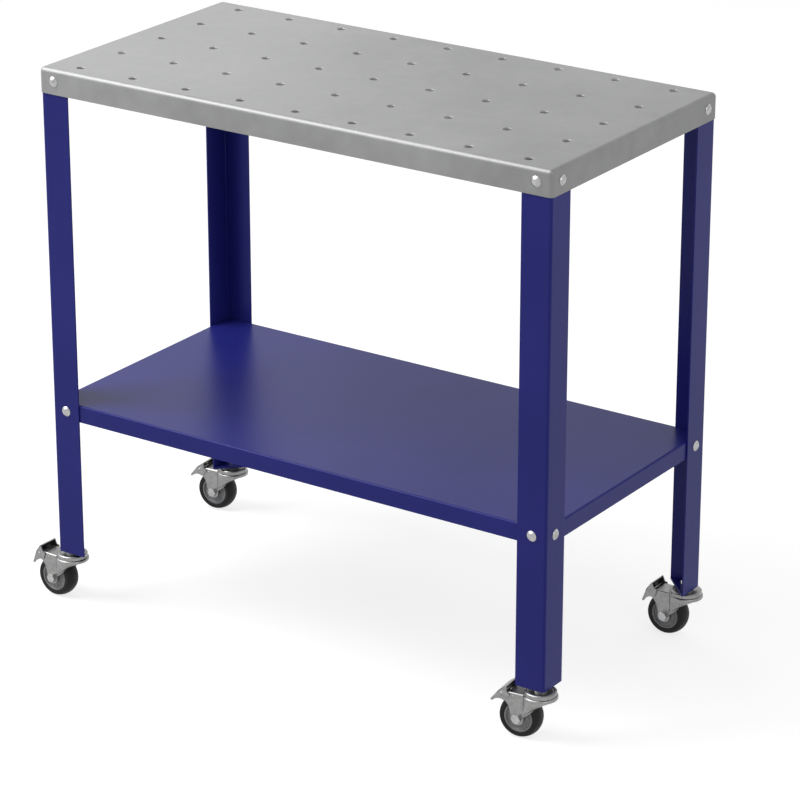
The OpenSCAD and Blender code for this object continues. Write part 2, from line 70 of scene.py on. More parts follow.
# %% Material helpers
NOISE_CORE = (0.35, 0.65)
NOISE_SPREAD = (0.3, 0.7)
COLOR_A, COLOR_B, COLOR_RESULT = 6, 7, 2
FLOAT_A, FLOAT_B, FLOAT_RESULT = 2, 3, 0


def shader_of(material):
    return material.node_tree.nodes["Principled BSDF"]


def new_material(name, roughness, metallic=0.0, specular=0.5):
    """An empty Principled material, with its fixed numbers on the shader's own sockets."""
    material = bpy.data.materials.new(name)
    material.use_nodes = True
    inputs = shader_of(material).inputs
    inputs["Roughness"].default_value = roughness
    inputs["Metallic"].default_value = metallic
    inputs["Specular IOR Level"].default_value = specular
    return material


def add_noise(material, scale, detail, distortion=0.0):
    """Noise on Object coordinates."""
    nodes = material.node_tree.nodes
    place = nodes.new("ShaderNodeTexCoord")
    noise = nodes.new("ShaderNodeTexNoise")
    noise.inputs["Scale"].default_value = scale
    noise.inputs["Detail"].default_value = detail
    noise.inputs["Distortion"].default_value = distortion
    material.node_tree.links.new(place.outputs["Object"], noise.inputs["Vector"])
    return noise.outputs["Fac"]


def connect(material, output, input_name):
    material.node_tree.links.new(output, shader_of(material).inputs[input_name])


print("a fixed colour goes in at Mix socket", COLOR_A, "or", COLOR_B)

# %% Sums with sockets
def remap(owner, value, low, high, out_low=0.0, out_high=1.0, smooth=False):
    """Stretch low..high to out_low..out_high, in the nodes of a material or a world."""
    node = owner.node_tree.nodes.new("ShaderNodeMapRange")
    if smooth:
        node.interpolation_type = "SMOOTHSTEP"
    for name, number in (("From Min", low), ("From Max", high),
                         ("To Min", out_low), ("To Max", out_high)):
        node.inputs[name].default_value = number
    owner.node_tree.links.new(value, node.inputs["Value"])
    return node.outputs["Result"]


def calculate(owner, operation, a, b):
    """A Math node; a and b are sockets or numbers."""
    node = owner.node_tree.nodes.new("ShaderNodeMath")
    node.operation = operation
    for socket, value in zip(node.inputs, (a, b)):
        if isinstance(value, (int, float)):
            socket.default_value = value
        else:
            owner.node_tree.links.new(value, socket)
    return node.outputs["Value"]


def mix_colors(material, share, first, second):
    """Colour between two, each a socket or an RGB triple."""
    node = material.node_tree.nodes.new("ShaderNodeMix")
    node.data_type = "RGBA"
    material.node_tree.links.new(share, node.inputs["Factor"])
    for socket, value in ((node.inputs[COLOR_A], first), (node.inputs[COLOR_B], second)):
        if isinstance(value, tuple):
            socket.default_value = (*value, 1.0)
        else:
            material.node_tree.links.new(value, socket)
    return node.outputs[COLOR_RESULT]


def add_bump(material, height, strength, depth):
    node = material.node_tree.nodes.new("ShaderNodeBump")
    node.inputs["Strength"].default_value = strength
    node.inputs["Distance"].default_value = depth
    material.node_tree.links.new(height, node.inputs["Height"])
    connect(material, node.outputs["Normal"], "Normal")


print("noise is stretched from", NOISE_CORE, "or", NOISE_SPREAD)

# %% [markdown]
# ## Galvanised sheet
#
# A hot-dip coat cools in soft clouds, from the size of a hand down to a fingertip, with a
# fine grain on top. Two noises of about those sizes move the grey between two values, and
# also move the roughness, so the clouds show in the reflections too, as they do on the real
# sheet. A third noise is the grain.

# %% Galvanised sheet
CLOUD_SCALE, SPOT_SCALE, ZINC_GRAIN_SCALE = 3.5, 38.0, 900.0
CLOUD_SHARE = 0.7
DARK_ZINC, PALE_ZINC = (0.23, 0.231, 0.232), (0.42, 0.421, 0.423)
ZINC_SPECK = (0.33, 0.331, 0.333)
ZINC_ROUGHNESS = (0.36, 0.5)
ZINC_BUMP = (0.12, 0.2 * MM)


def make_zinc_sheet():
    zinc = new_material("zinc_sheet", roughness=0.4, metallic=0.3, specular=0.4)
    broad = add_noise(zinc, CLOUD_SCALE, detail=2.0)
    small = add_noise(zinc, SPOT_SCALE, detail=4.0)
    grain = add_noise(zinc, ZINC_GRAIN_SCALE, detail=2.0)
    clouds = calculate(zinc, "ADD", calculate(zinc, "MULTIPLY", broad, CLOUD_SHARE),
                       calculate(zinc, "MULTIPLY", small, 1 - CLOUD_SHARE))
    grey = mix_colors(zinc, remap(zinc, clouds, *NOISE_CORE), DARK_ZINC, PALE_ZINC)
    speckled = mix_colors(zinc, remap(zinc, grain, *NOISE_SPREAD), grey, ZINC_SPECK)
    connect(zinc, speckled, "Base Color")
    connect(zinc, remap(zinc, clouds, *NOISE_SPREAD, *ZINC_ROUGHNESS), "Roughness")
    add_bump(zinc, grain, *ZINC_BUMP)
    return zinc


zinc_sheet = make_zinc_sheet()
print("made", zinc_sheet.name)

# %% [markdown]
# ## Powder coat
#
# Powder melts to a satin skin with a faint orange peel: round dents about a millimetre
# apart and a few hundredths deep. The blue itself is even, with a breath of variation.

# %% Powder coat
BLUE_SCALE, PEEL_SCALE = 5.0, 700.0
DEEP_BLUE, LIGHT_BLUE = (0.017, 0.020, 0.190), (0.021, 0.024, 0.214)
COAT_ROUGHNESS = (0.30, 0.36)
PEEL_BUMP = (0.1, 0.2 * MM)


def make_powder_coat():
    blue = new_material("blue_powder_coat", roughness=0.33, specular=0.15)
    broad = add_noise(blue, BLUE_SCALE, detail=2.0)
    peel = add_noise(blue, PEEL_SCALE, detail=1.0)
    shade = mix_colors(blue, remap(blue, broad, *NOISE_CORE), DEEP_BLUE, LIGHT_BLUE)
    connect(blue, shade, "Base Color")
    connect(blue, remap(blue, peel, *NOISE_SPREAD, *COAT_ROUGHNESS), "Roughness")
    add_bump(blue, peel, *PEEL_BUMP)
    return blue


powder_coat = make_powder_coat()
print("made", powder_coat.name)

# %% [markdown]
# ## Zinc plate
#
# The castors and bolts are electroplated, which is smoother than the sheet's hot-dip coat,
# with dull spots where fingers have touched them. One function makes the plate of the
# castors, the brighter plate of the bolts and the polished steel of the bearing balls.

# %% Zinc plate
TOUCH_SCALE, PLATE_GRAIN_SCALE = 160.0, 2500.0
DULLER, SHINIER = 0.06, 0.04
PLATE_BUMP = (0.08, 0.1 * MM)


def make_zinc_plate(name, dull, bright, roughness):
    plate = new_material(name, roughness=roughness, metallic=1.0)
    spots = add_noise(plate, TOUCH_SCALE, detail=3.0)
    grain = add_noise(plate, PLATE_GRAIN_SCALE, detail=1.0)
    connect(plate, mix_colors(plate, remap(plate, spots, *NOISE_CORE), dull, bright),
            "Base Color")
    shine = remap(plate, spots, *NOISE_SPREAD, roughness + DULLER, roughness - SHINIER)
    connect(plate, shine, "Roughness")
    add_bump(plate, grain, *PLATE_BUMP)
    return plate


castor_plate = make_zinc_plate("castor_zinc", dull=(0.25, 0.25, 0.247),
                               bright=(0.30, 0.30, 0.297), roughness=0.3)
bolt_plate = make_zinc_plate("zinc_plated_bolts", dull=(0.36, 0.36, 0.36),
                             bright=(0.46, 0.46, 0.46), roughness=0.14)
ball_steel = make_zinc_plate("bearing_steel", dull=(0.45, 0.45, 0.46),
                             bright=(0.6, 0.6, 0.61), roughness=0.12)
print("made", castor_plate.name, bolt_plate.name, ball_steel.name)

# %% [markdown]
# ## Wheel plastic and rubber
#
# The rim is a grey moulding with a slightly grained face. The tyre is black rubber, mostly
# matt, with scuffs from the floor that make it a little paler and change its shine.

# %% Rim plastic
MOTTLE_SCALE, PLASTIC_GRAIN_SCALE = 220.0, 1800.0
DARK_PLASTIC, PALE_PLASTIC = (0.20, 0.202, 0.205), (0.25, 0.252, 0.255)
PLASTIC_BUMP = (0.15, 0.2 * MM)


def make_rim_plastic():
    plastic = new_material("grey_wheel_plastic", roughness=0.42)
    mottle = add_noise(plastic, MOTTLE_SCALE, detail=3.0)
    grain = add_noise(plastic, PLASTIC_GRAIN_SCALE, detail=2.0)
    grey = mix_colors(plastic, remap(plastic, mottle, *NOISE_CORE), DARK_PLASTIC, PALE_PLASTIC)
    connect(plastic, grey, "Base Color")
    add_bump(plastic, grain, *PLASTIC_BUMP)
    return plastic


rim_plastic = make_rim_plastic()
print("made", rim_plastic.name)

# %% Tyre rubber
SCUFF_SCALE, RUBBER_GRAIN_SCALE = 120.0, 1500.0
SCUFF_PART = (0.45, 0.75)
CLEAN_RUBBER, SCUFFED_RUBBER = (0.004, 0.004, 0.0045), (0.010, 0.010, 0.0105)
RUBBER_ROUGHNESS = (0.42, 0.62)
RUBBER_BUMP = (0.2, 0.2 * MM)


def make_tyre_rubber():
    rubber = new_material("black_tyre", roughness=0.5, specular=0.22)
    scuffs = add_noise(rubber, SCUFF_SCALE, detail=4.0, distortion=0.5)
    grain = add_noise(rubber, RUBBER_GRAIN_SCALE, detail=2.0)
    black = mix_colors(rubber, remap(rubber, scuffs, *SCUFF_PART), CLEAN_RUBBER, SCUFFED_RUBBER)
    connect(rubber, black, "Base Color")
    connect(rubber, remap(rubber, scuffs, *NOISE_SPREAD, *RUBBER_ROUGHNESS), "Roughness")
    add_bump(rubber, grain, *RUBBER_BUMP)
    return rubber


tyre_rubber = make_tyre_rubber()
print("made", tyre_rubber.name)

# %% [markdown]
# ## Give every piece its finish
#
# The record says which material slot each piece belongs to and which body it moves with, so
# one loop dresses them all. The pieces modelled below take both from the node they stand for.

# %% Dress the pieces
SLOT_MATERIAL = {
    "zinc_sheet": zinc_sheet, "blue_powder_coat": powder_coat, "castor_zinc": castor_plate,
    "zinc_plated_bolts": bolt_plate, "bearing_steel": ball_steel,
    "grey_wheel_plastic": rim_plastic, "black_tyre": tyre_rubber,
}
RECORD = frame["record"]
SLOT_OF = {part["node"]: part["material_slot"] for part in RECORD["subparts"]}
BODY_OF = {node: body for body, nodes in RECORD["behaviour"]["bodies"].items()
           for node in nodes}

for name, piece in NODES.items():
    piece.data.materials.clear()
    piece.data.materials.append(SLOT_MATERIAL[SLOT_OF[name]])
print("dressed", len(NODES), "pieces")

# %% [markdown]
# ## Helpers for modelling
#
# An operator acts on whatever is selected, so every step first clears the selection and then
# picks its faces or edges by where they lie or which way they look. These few helpers say
# that in one line each. An edge or a normal counts as lying along an axis when more than nine
# tenths of its length do.

# %% Selection helpers
ALONG_AXIS = 0.9
FACING = 0.5


def deselect_all():
    if bpy.context.mode != "OBJECT":
        bpy.ops.object.mode_set(mode="OBJECT")
    bpy.ops.object.select_all(action="DESELECT")


def pick(piece):
    deselect_all()
    piece.select_set(True)
    bpy.context.view_layer.objects.active = piece


def enter_edit(piece, kind="FACE"):
    pick(piece)
    bpy.ops.object.mode_set(mode="EDIT")
    bpy.ops.mesh.select_mode(type=kind)


def select_where(piece, items, test):
    """In edit mode, select the verts, edges or faces that pass the test, and nothing else."""
    bpy.ops.mesh.select_all(action="DESELECT")
    mesh = bmesh.from_edit_mesh(piece.data)
    for item in getattr(mesh, items):
        if test(item):
            item.select_set(True)
    mesh.select_flush_mode()
    bmesh.update_edit_mesh(piece.data)


deselect_all()
print("selected:", len(bpy.context.selected_objects))

# %% [markdown]
# A finished piece sits at the origin with its place in its mesh, so settle() applies what an
# operator left on the object. Modifiers are applied one by one, as each step needs the mesh
# of the step before. A last thin bevel rounds sharp edges, because no real edge is sharp.

# %% Shape helpers
def settle(piece):
    """Put the piece's place and size into its mesh, so that its object sits at the origin."""
    pick(piece)
    bpy.ops.object.transform_apply(location=True, rotation=True, scale=True)


def apply_modifier(piece, kind, **settings):
    pick(piece)
    modifier = piece.modifiers.new(kind.title(), kind)
    for name, value in settings.items():
        setattr(modifier, name, value)
    bpy.ops.object.modifier_apply(modifier=modifier.name)


def round_edges(piece, width, steps, sharper_than):
    """Bevel every edge that turns by more than an angle in degrees."""
    apply_modifier(piece, "BEVEL", width=width, segments=steps, limit_method="ANGLE",
                   angle_limit=math.radians(sharper_than))


def box_block(low, high):
    deselect_all()
    bpy.ops.mesh.primitive_cube_add(size=1.0, location=(low + high) / 2)
    block = bpy.context.object
    block.scale = high - low
    settle(block)
    return block


def copy_to(piece, place):
    """A copy with a mesh of its own, moved by a matrix."""
    pick(piece)
    bpy.ops.object.duplicate(linked=False)
    twin = bpy.context.object
    twin.data.transform(place)
    return twin


print("1 mm is", MM, "m")

# %% [markdown]
# Holes are cut as a punch or a drill cuts them: a cutter of the hole's shape goes right
# through, and a Boolean takes it away. Cutters for many holes are joined first, so that one
# Boolean cuts them all. A cutter is turned by an eighth of a turn about itself, so that the
# flats of a square one lie along the sheet's edges.

# %% Cutters
EIGHTH_TURN = math.radians(45)
SQUARE_SIDES, BOLT_HOLE_SIDES, HINGE_HOLE_SIDES, WHEEL_CUT_SIDES = 4, 24, 32, 96


def join_pieces(pieces):
    deselect_all()
    for piece in pieces:
        piece.select_set(True)
    bpy.context.view_layer.objects.active = pieces[0]
    bpy.ops.object.join()
    return pieces[0]


def cut_away(piece, cutters):
    """Subtract the cutters, joined, and throw them away."""
    cutter = join_pieces(cutters)
    apply_modifier(piece, "BOOLEAN", operation="DIFFERENCE", object=cutter, solver="EXACT")
    bpy.data.objects.remove(cutter)


def plug(place, along, radius, depth, sides):
    """A round cutter about a direction, or a square one with 4 sides."""
    deselect_all()
    turn = along.to_track_quat("Z", "Y") @ Quaternion((0, 0, 1), EIGHTH_TURN)
    bpy.ops.mesh.primitive_cylinder_add(vertices=sides, radius=radius, depth=depth,
                                        location=place, rotation=turn.to_euler())
    cutter = bpy.context.object
    settle(cutter)
    return cutter


print("a bolt's round hole has", BOLT_HOLE_SIDES, "sides")

# %% [markdown]
# A modelled piece replaces the loaded one of the same part. It takes over that piece's
# finish and its body, so it moves with the same joint. Weighted normals keep the flat faces
# beside a rounded fold flat in the light.

# %% Hand over
SMOOTH_UNDER = math.radians(35)
LARGE_FACES_LEAD = 100


def stand_for(piece, name, node):
    """Shade and name the piece, and let it take over the node's finish, body and place."""
    pick(piece)
    bpy.ops.object.shade_smooth_by_angle(angle=SMOOTH_UNDER)
    apply_modifier(piece, "WEIGHTED_NORMAL", mode="FACE_AREA", weight=LARGE_FACES_LEAD,
                   keep_sharp=True)
    piece.name = piece.data.name = name
    piece.data.materials.clear()
    piece.data.materials.append(SLOT_MATERIAL[SLOT_OF[node]])
    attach(piece, BODY_OF[node])
    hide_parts(node)
    print(name, "has", len(piece.data.polygons), "faces")


print("edges under", round(math.degrees(SMOOTH_UNDER)), "degrees are shaded smooth")

# %% [markdown]
# ## Drawn sections
#
# Turned shapes and stamped plates both start from a drawn line. One vertex is pulled out from
# point to point, and a last edge closes the line. A turned shape is then spun round its axis,
# and the first and last copy of the section, which lie on each other, are merged. Two points
# nearer than the merge gap count as one.

# %% Draw and spin a section
MERGE_GAP = 0.002 * MM
FULL_TURN = math.radians(360)


def draw_loop(points):
    """A closed line of edges through the points, left in edit mode and selected."""
    deselect_all()
    bpy.ops.mesh.primitive_plane_add(size=MM)
    piece = bpy.context.object
    enter_edit(piece, "VERT")
    bpy.ops.mesh.select_all(action="SELECT")
    bpy.ops.mesh.merge(type="CENTER")
    bpy.ops.transform.translate(value=points[0])
    for start, end in zip(points, points[1:]):
        bpy.ops.mesh.extrude_vertices_move(TRANSFORM_OT_translate={"value": end - start})
    ends = (points[0], points[-1])
    select_where(piece, "verts",
                 lambda vert: min((vert.co - end).length for end in ends) < MERGE_GAP)
    bpy.ops.mesh.edge_face_add()
    bpy.ops.mesh.select_all(action="SELECT")
    return piece


def spin_section(points, axis, steps):
    """A drawn section, spun once round an axis through the origin."""
    piece = draw_loop(points)
    bpy.ops.mesh.spin(steps=steps, angle=FULL_TURN, center=(0, 0, 0), axis=axis)
    bpy.ops.mesh.select_all(action="SELECT")
    bpy.ops.mesh.remove_doubles(threshold=MERGE_GAP)
    bpy.ops.mesh.normals_make_consistent(inside=False)
    deselect_all()
    return piece


print("merge gap:", MERGE_GAP / MM, "mm")

# %% [markdown]
# ## Bolt places
#
# Each leg has two domed bolts at each of two heights, one through the middle of each flange.
# The legs' own boxes and the bolts' boxes give the places, so holes and bolts agree. The
# bolts have a square neck under the head, so the outer sheet of each joint has a square hole
# and the inner one a round hole.

# %% Bolt places
CORNERS = ("front_left", "front_right", "back_left", "back_right")
BOLT_RADIUS = 3 * MM
BOLT_PLAY = 0.3 * MM
NECK_HALF_DIAGONAL = 3.1 * math.sqrt(2) * MM
SHEET_CUT = 12 * MM


def corner_of_box(node):
    low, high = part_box(node)
    return Vector(low), Vector(high)


def bolt_places(bolts):
    """Each bolt's place on the outer face of a flange, with the direction out of the table."""
    low, high = corner_of_box(bolts)
    height = (low.z + high.z) / 2
    places = []
    for corner in CORNERS:
        low, high = corner_of_box(f"{corner}_leg")
        middle = (low + high) / 2
        side_x, side_y = math.copysign(1, middle.x), math.copysign(1, middle.y)
        face_x, face_y = max(abs(low.x), abs(high.x)), max(abs(low.y), abs(high.y))
        places.append((Vector((middle.x, side_y * face_y, height)), Vector((0, side_y, 0))))
        places.append((Vector((side_x * face_x, middle.y, height)), Vector((side_x, 0, 0))))
    return places


def bolt_plugs(bolts, square):
    """Cutters for the bolts' holes, square where the bolts' necks sit."""
    if square:
        radius, sides = NECK_HALF_DIAGONAL, SQUARE_SIDES
    else:
        radius, sides = BOLT_RADIUS + BOLT_PLAY, BOLT_HOLE_SIDES
    return [plug(place, along, radius, SHEET_CUT, sides) for place, along in bolt_places(bolts)]


print("bolts:", len(bolt_places("apron_bolts")) + len(bolt_places("shelf_bolts")))

# %% [markdown]
# ## Worktop and shelf
#
# Both are one sheet, folded down all round. A block without its underside has the sheet's
# outer face. Bevelling its edges makes the folds, and Solidify gives the sheet its thickness
# inwards, so the folds keep an even wall. The upright corners are bevelled first, because
# the worktop's are closed and ground a little rounder than its folds.

# %% Folded tray
def is_upright(edge):
    along = edge.verts[1].co - edge.verts[0].co
    return abs(along.z) > ALONG_AXIS * along.length


def is_top_edge(edge):
    return not edge.is_boundary and max(face.normal.z for face in edge.link_faces) > ALONG_AXIS


def folded_tray(node, sheet, corner, fold, steps):
    """A sheet with the node's outer size, folded down on all four sides."""
    tray = box_block(*corner_of_box(node))
    enter_edit(tray)
    select_where(tray, "faces", lambda face: face.normal.z < -FACING)
    bpy.ops.mesh.delete(type="FACE")
    bpy.ops.mesh.select_mode(type="EDGE")
    select_where(tray, "edges", is_upright)
    bpy.ops.mesh.bevel(offset=corner, segments=steps, affect="EDGES")
    select_where(tray, "edges", is_top_edge)
    bpy.ops.mesh.bevel(offset=fold, segments=steps, affect="EDGES")
    apply_modifier(tray, "SOLIDIFY", thickness=sheet, offset=-1.0, use_even_offset=True)
    return tray


print("worktop size:", [round(side / MM, 1) for side in
                        corner_of_box("worktop")[1] - corner_of_box("worktop")[0]], "mm")

# %% [markdown]
# The fixing holes are punched, and the punch draws the sheet down round each of them into a
# short collar with a rounded mouth. The collar's wall is what makes a hole look dark from a
# low angle. Its section is drawn once and spun about an upright axis. A plain cylinder cuts
# the sheet, and a copy of the collar goes into every hole.

# %% Fixing holes
HOLE_RADIUS = 6 * MM
HOLE_PITCH = 100 * MM
HOLES_LONG, HOLES_DEEP = 9, 5
HOLE_ROUND, HOLE_ROUND_STEPS = 1.7 * MM, 4
COLLAR_DROP, COLLAR_WALL = 3.2 * MM, 0.9 * MM
HOLE_SIDES = 40
UPWARDS = Vector((0, 0, 1))


def hole_places():
    for column in range(HOLES_LONG):
        for row in range(HOLES_DEEP):
            yield ((column - (HOLES_LONG - 1) / 2) * HOLE_PITCH,
                   (row - (HOLES_DEEP - 1) / 2) * HOLE_PITCH)


def copy_to_holes(first):
    """One copy in every hole; the one that was copied is thrown away."""
    copies = [copy_to(first, Matrix.Translation((x, y, 0))) for x, y in hole_places()]
    bpy.data.objects.remove(first)
    return copies


print("fixing holes:", len(list(hole_places())))

# %% Collars
def hole_collar(top_z, sheet):
    """The drawn rim: a quarter round at the top, then a short wall below the sheet."""
    mouth = []
    for step in range(HOLE_ROUND_STEPS + 1):
        angle = math.radians(90) * step / HOLE_ROUND_STEPS
        mouth.append(Vector((HOLE_RADIUS + HOLE_ROUND * (1 - math.sin(angle)), 0,
                             top_z - HOLE_ROUND * (1 - math.cos(angle)))))
    foot = top_z - sheet - COLLAR_DROP
    outside = HOLE_RADIUS + COLLAR_WALL
    section = mouth + [Vector((HOLE_RADIUS, 0, foot)), Vector((outside, 0, foot)),
                       Vector((outside, 0, top_z - sheet)),
                       Vector((HOLE_RADIUS + HOLE_ROUND, 0, top_z - sheet))]
    return spin_section(section, UPWARDS, HOLE_SIDES)


def punch_holes(tray, top_z, sheet):
    """Cut the grid of holes and set a collar into each of them."""
    cutter = plug(Vector((0, 0, top_z)), UPWARDS, HOLE_RADIUS + HOLE_ROUND, SHEET_CUT,
                  HOLE_SIDES)
    cut_away(tray, copy_to_holes(cutter))
    return join_pieces([tray] + copy_to_holes(hole_collar(top_z, sheet)))


print("a collar's mouth is", 2 * (HOLE_RADIUS + HOLE_ROUND) / MM, "mm wide")

# %% [markdown]
# With these two functions the worktop takes a few lines. It gets square holes for the bolts'
# necks, as it is the outer sheet at the legs. The shelf sits inside the legs, so its holes
# are round. It is thinner sheet with tighter folds and has no fixing holes.

# %% Worktop and shelf
WORKTOP_SHEET, WORKTOP_CORNER, WORKTOP_FOLD, WORKTOP_STEPS = 2 * MM, 7.2 * MM, 7 * MM, 8
SHELF_SHEET, SHELF_CORNER, SHELF_FOLD, SHELF_STEPS = 1.5 * MM, 3.2 * MM, 3 * MM, 5

worktop = folded_tray("worktop", WORKTOP_SHEET, WORKTOP_CORNER, WORKTOP_FOLD, WORKTOP_STEPS)
cut_away(worktop, bolt_plugs("apron_bolts", square=True))
worktop = punch_holes(worktop, corner_of_box("worktop")[1].z, WORKTOP_SHEET)
stand_for(worktop, "worktop_sheet", "worktop")

shelf = folded_tray("lower_shelf", SHELF_SHEET, SHELF_CORNER, SHELF_FOLD, SHELF_STEPS)
cut_away(shelf, bolt_plugs("shelf_bolts", square=False))
stand_for(shelf, "shelf_sheet", "lower_shelf")

# %% [markdown]
# ## Angle legs
#
# A leg is a strip folded once along its length. A block keeps only its two outer sides, the
# edge between them is bevelled into the fold, and Solidify gives the sheet. Powder builds up
# on cut edges, so a last small bevel rounds them.

# %% Legs
LEG_SHEET, LEG_FOLD, LEG_FOLD_STEPS = 2.5 * MM, 4 * MM, 6
COAT_ROUND = 0.5 * MM


def angle_leg(corner):
    low, high = corner_of_box(f"{corner}_leg")
    middle = (low + high) / 2
    outwards = Vector((math.copysign(1, middle.x), math.copysign(1, middle.y), 0))
    leg = box_block(low, high)
    enter_edit(leg)
    select_where(leg, "faces", lambda face: face.normal.dot(outwards) < FACING)
    bpy.ops.mesh.delete(type="FACE")
    bpy.ops.mesh.select_mode(type="EDGE")
    select_where(leg, "edges", lambda edge: not edge.is_boundary)
    bpy.ops.mesh.bevel(offset=LEG_FOLD, segments=LEG_FOLD_STEPS, affect="EDGES")
    apply_modifier(leg, "SOLIDIFY", thickness=LEG_SHEET, offset=-1.0, use_even_offset=True)
    cut_away(leg, bolt_plugs("apron_bolts", square=False))
    cut_away(leg, bolt_plugs("shelf_bolts", square=True))
    round_edges(leg, COAT_ROUND, steps=2, sharper_than=60)
    return leg


for corner in CORNERS:
    stand_for(angle_leg(corner), f"{corner}_leg_angle", f"{corner}_leg")

# %% [markdown]
# ## Where the castors stand
#
# Each castor's joints say where its axle and its pedal's hinge lie and how far it is turned.
# A wheel or a pedal is modelled once about the origin, with the axle along Y, and its copies
# are moved to those places.

# %% Castor places
JOINTS = {joint["name"]: joint for joint in frame["joints"]}


def joint_place(name):
    joint = JOINTS[name]
    yaw = math.atan2(-joint["axis"][0], joint["axis"][1])
    return Matrix.Translation(joint["pos_m"]) @ Matrix.Rotation(yaw, 4, "Z")


def put_in_place(piece, place, name, node):
    stand_for(copy_to(piece, place), name, node)


def put_on_axles(piece, name, node):
    """A copy on each castor's axle; the one that was copied is thrown away."""
    for corner in CORNERS:
        put_in_place(piece, joint_place(f"{corner}_wheel_spin"),
                     f"{corner}_castor_{name}", f"{corner}_castor_{node}")
    bpy.data.objects.remove(piece)


for corner in CORNERS:
    print(corner, "axle at", JOINTS[f"{corner}_wheel_spin"]["pos_m"])

# %% [markdown]
# ## Tyre and rim
#
# Both are turned shapes. Their sections are written in millimetres, as pairs of a radius and
# a distance along the axle. The tread is a flat arc, worked out from its height in the middle
# and at the edge. The tyre's shoulders and the rim's edges are rounded by a bevel afterwards,
# because that keeps the sections short.

# %% Turned shapes
SPIN_STEPS = 72
ACROSS = Vector((0, 1, 0))


def turned(section):
    """Spin a section of (radius, distance along the axle) once round the axle."""
    return spin_section([Vector((radius * MM, along * MM, 0)) for radius, along in section],
                        ACROSS, SPIN_STEPS)


def both_sides(section):
    """Complete a section that is the same on both sides of the wheel's middle."""
    return section + [(radius, -along) for radius, along in reversed(section)]


print("wheels are spun in", SPIN_STEPS, "steps")

# %% Tyre
TREAD_MIDDLE, TREAD_EDGE, TYRE_SEAT, TYRE_HALF = 33.5, 30.0, 23.0, 13.0
TREAD_STEPS = 8
SHOULDER_ROUND = 1.6 * MM


def tread_curve():
    """The tread's arc from one edge to the other, in (radius, along) points."""
    rise = TREAD_MIDDLE - TREAD_EDGE
    curve_radius = (TYRE_HALF ** 2 + rise ** 2) / (2 * rise)
    reach = math.asin(TYRE_HALF / curve_radius)
    points = []
    for step in range(2 * TREAD_STEPS + 1):
        angle = reach * (1 - step / TREAD_STEPS)
        points.append((TREAD_MIDDLE - curve_radius * (1 - math.cos(angle)),
                       curve_radius * math.sin(angle)))
    return points


tyre = turned([(TYRE_SEAT, TYRE_HALF)] + tread_curve() + [(TYRE_SEAT, -TYRE_HALF)])
round_edges(tyre, SHOULDER_ROUND, steps=4, sharper_than=40)
put_on_axles(tyre, "moulded_tyre", "tyre")

# %% Rim
RIM_BORE, HUB_RADIUS, STEP_RADIUS, RING_INSIDE = 5.56, 8.5, 14.35, 20.2
HUB_FACE, STEP_FACE, DISH_FACE, RING_FACE = 13.0, 11.2, 9.9, 12.5
STEP_SLOPE, RING_SLOPE = 1.2, 0.8
RIM_ROUND = 0.5 * MM

rim = turned(both_sides([
    (RIM_BORE, HUB_FACE), (HUB_RADIUS, HUB_FACE), (HUB_RADIUS, STEP_FACE),
    (STEP_RADIUS, STEP_FACE), (STEP_RADIUS + STEP_SLOPE, DISH_FACE),
    (RING_INSIDE - RING_SLOPE, DISH_FACE), (RING_INSIDE, RING_FACE), (TYRE_SEAT, RING_FACE),
]))
round_edges(rim, RIM_ROUND, steps=3, sharper_than=30)
put_on_axles(rim, "moulded_rim", "wheel_rim")

# %% [markdown]
# ## Brake pedal
#
# The pedal is stamped from one sheet: its back is folded over to both sides, so it has two
# cheeks outside the fork and a web behind. Folding it in one go would twist the sheet at the
# round tip of the beak. So each cheek is drawn as a plate and the web as a strip between
# them. They are joined by a Boolean, and one small bevel rounds the folds and the cut edges.
# The side view is written in millimetres from the hinge, with the pedal pressed.
#
# This way has a fault. The unions leave a few edges of no length, the bevel makes
# hundreds more, and once the hinge hole is cut the mesh isn't closed everywhere. Merging
# doubles after each Boolean may avoid it, but that wasn't tried.

# %% Pedal outline
PEDAL_SHEET = 1.6
PEDAL_HALF = 17.95
BEAK_TIP = ((-14.3, -17.9), (-11.2, -18.9))
UNDERSIDE = ((-7.2, -12.9), (-2.6, -9.3), (2.4, -8.3), (7.9, -8.6))
FRONT_AND_TOP = ((12.0, 3.7), (10.4, 6.0), (6.6, 6.0))
LIP_EDGE = ((3.25, 14.2), (1.65, 15.0))
KNEE = (-6.6, 3.0)
ROUNDED = {1.6: BEAK_TIP, 2.0: UNDERSIDE, 1.2: FRONT_AND_TOP}
ROUNDED_STEPS = 4


def side_point(point, side=-PEDAL_HALF):
    return Vector((point[0] * MM, side * MM, point[1] * MM))


def round_corners(piece, corners, radius, side):
    spots = [side_point(corner, side) for corner in corners]
    select_where(piece, "verts",
                 lambda vert: min((vert.co - spot).length for spot in spots) < MERGE_GAP)
    bpy.ops.mesh.bevel(offset=radius * MM, segments=ROUNDED_STEPS, affect="VERTICES")


def plate(points, side, width, rounded):
    """A flat plate with this side view, from one side across the castor."""
    piece = draw_loop([side_point(point, side) for point in points])
    bpy.ops.mesh.edge_face_add()
    for radius, corners in rounded.items():
        round_corners(piece, corners, radius, side)
    bpy.ops.mesh.select_all(action="SELECT")
    bpy.ops.mesh.extrude_region_move(TRANSFORM_OT_translate={"value": (0, width * MM, 0)})
    bpy.ops.mesh.select_all(action="SELECT")
    bpy.ops.mesh.normals_make_consistent(inside=False)
    deselect_all()
    return piece


print("the pedal is", 2 * PEDAL_HALF, "mm wide")

# %% [markdown]
# The web follows the pedal's back from the beak over the knee to the lip. Its inner face lies
# one sheet in from the outer one, and at the knee the two inner stretches are cut off where
# they meet, or the sheet would be thinner there.

